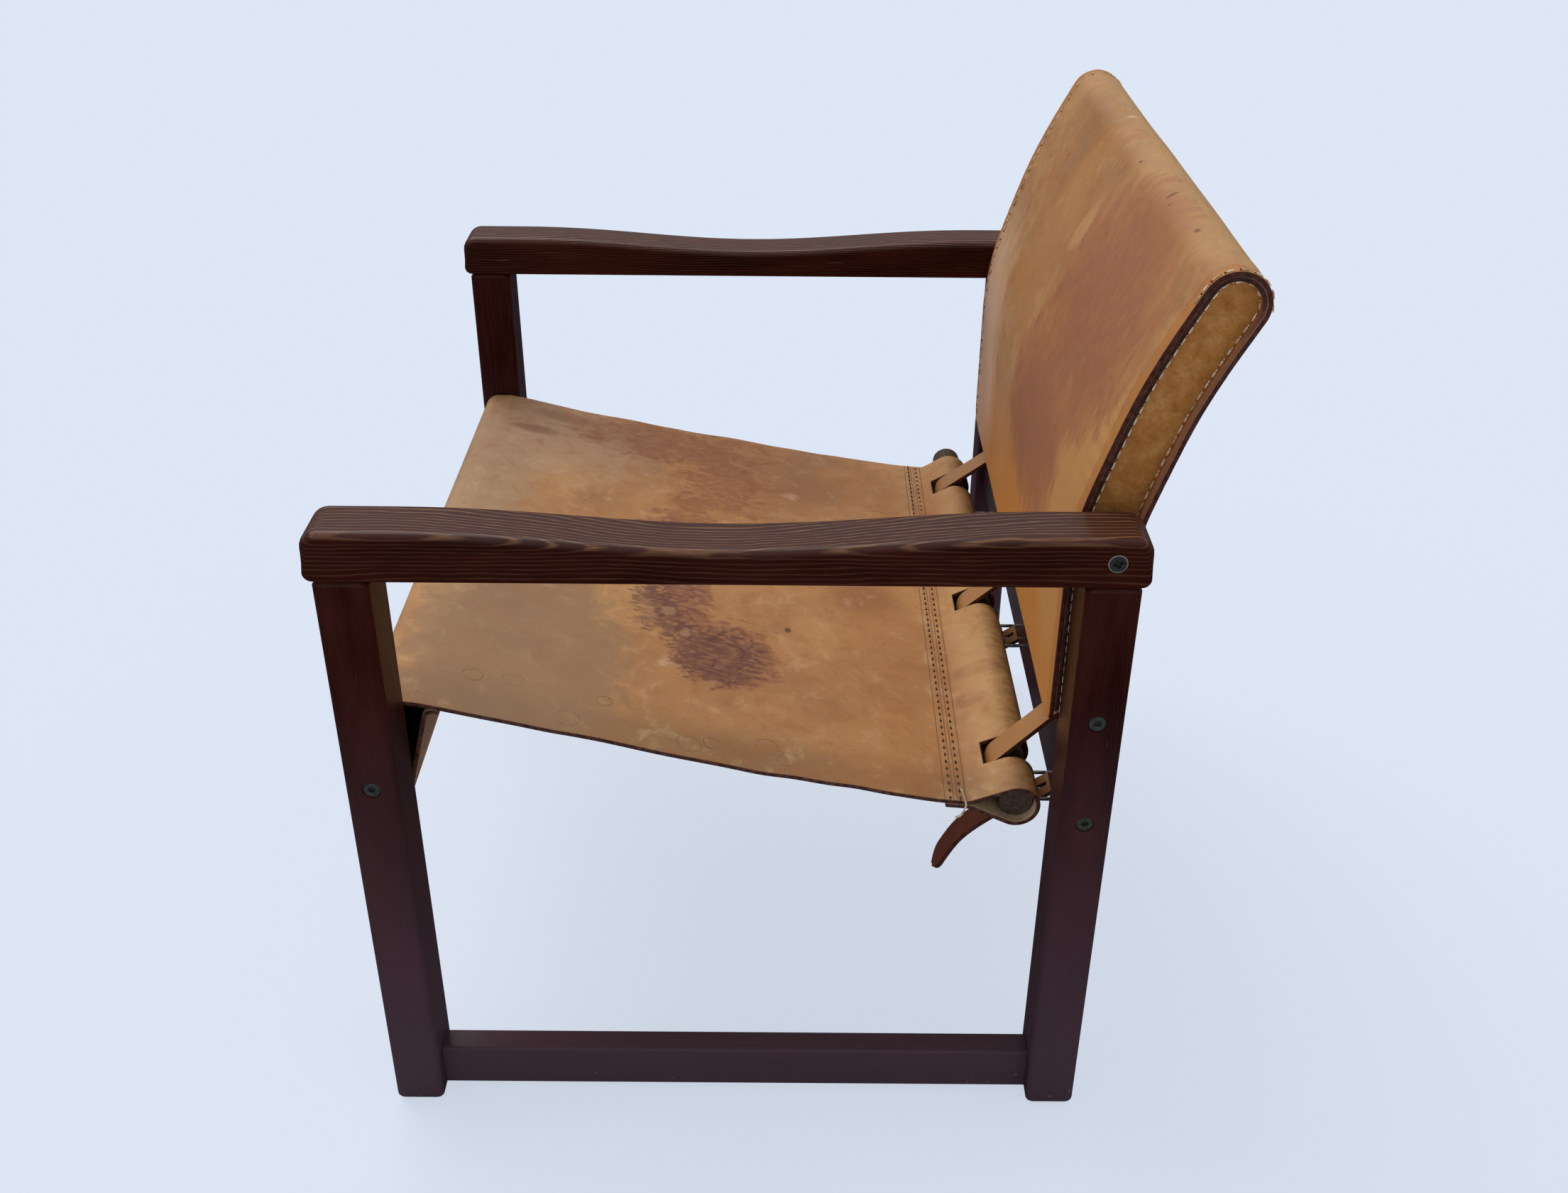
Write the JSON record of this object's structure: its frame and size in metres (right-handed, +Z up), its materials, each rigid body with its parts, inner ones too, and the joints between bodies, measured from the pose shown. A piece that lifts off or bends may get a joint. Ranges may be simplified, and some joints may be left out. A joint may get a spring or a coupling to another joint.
{
  "type": "low campaign armchair",
  "caption": "Low wooden armchair with a thick leather sling seat held by buckled straps and a leather hooded back that tilts between the armrests.",
  "frame": {"origin": "centre of the outer box, on the floor", "axes": "+Z up, the chair faces -Y, +X is the sitter's left"},
  "size_m": [0.646, 0.624, 0.691],
  "materials": {
    "stained_wood": "dark red brown stain under thin lacquer",
    "dowel_wood": "bare, weathered",
    "inner_wood": "bare, sanded",
    "saddle_leather": "vegetable tanned, worn and stained",
    "strap_leather": "vegetable tanned, smooth",
    "suede": "napped suede",
    "dark_steel": "blackened, worn",
    "bright_steel": "nickel plated"
  },
  "bodies": {
    "chair_frame": {"front_leg_left": "stained_wood", "front_leg_right": "stained_wood", "rear_leg_left": "stained_wood", "rear_leg_right": "stained_wood", "armrest_left": "stained_wood", "armrest_right": "stained_wood", "bottom_stretcher_left": "stained_wood", "bottom_stretcher_right": "stained_wood", "front_rail": "stained_wood", "rear_rail_lower": "stained_wood", "rear_rail_upper": "stained_wood", "front_rail_bolt_left": "dark_steel", "front_rail_bolt_right": "dark_steel", "rear_rail_lower_bolt_left": "dark_steel", "rear_rail_lower_bolt_right": "dark_steel", "rear_rail_upper_bolt_left": "dark_steel", "rear_rail_upper_bolt_right": "dark_steel", "front_rail_nut_left": "bright_steel", "front_rail_nut_right": "bright_steel", "rear_rail_lower_nut_left": "bright_steel", "rear_rail_lower_nut_right": "bright_steel", "rear_rail_upper_nut_left": "bright_steel", "rear_rail_upper_nut_right": "bright_steel", "seat_leather": "saddle_leather", "seat_dowel": "dowel_wood", "strap_left": "strap_leather", "strap_middle": "strap_leather", "strap_right": "strap_leather", "buckle_frame_left": "bright_steel", "buckle_frame_middle": "bright_steel", "buckle_frame_right": "bright_steel", "buckle_prong_left": "bright_steel", "buckle_prong_middle": "bright_steel", "buckle_prong_right": "bright_steel"},
    "tilting_back": {"back_hood": "saddle_leather", "back_gusset_left": "suede", "back_gusset_right": "suede", "back_upright_left": "inner_wood", "back_upright_right": "inner_wood", "back_rail_upper": "inner_wood", "back_rail_lower": "inner_wood", "pivot_screw_left": "dark_steel", "pivot_screw_right": "dark_steel", "pivot_insert_left": "bright_steel", "pivot_insert_right": "bright_steel", "pivot_spacer_left": "dark_steel", "pivot_spacer_right": "dark_steel"}
  },
  "joints": [
    {"name": "back_tilt", "type": "hinge", "parent": "chair_frame", "child": "tilting_back", "pos_m": [0, 0.22401, 0.5078], "axis": [-1, 0, 0], "range_deg": [-2, 14]}
  ]
}
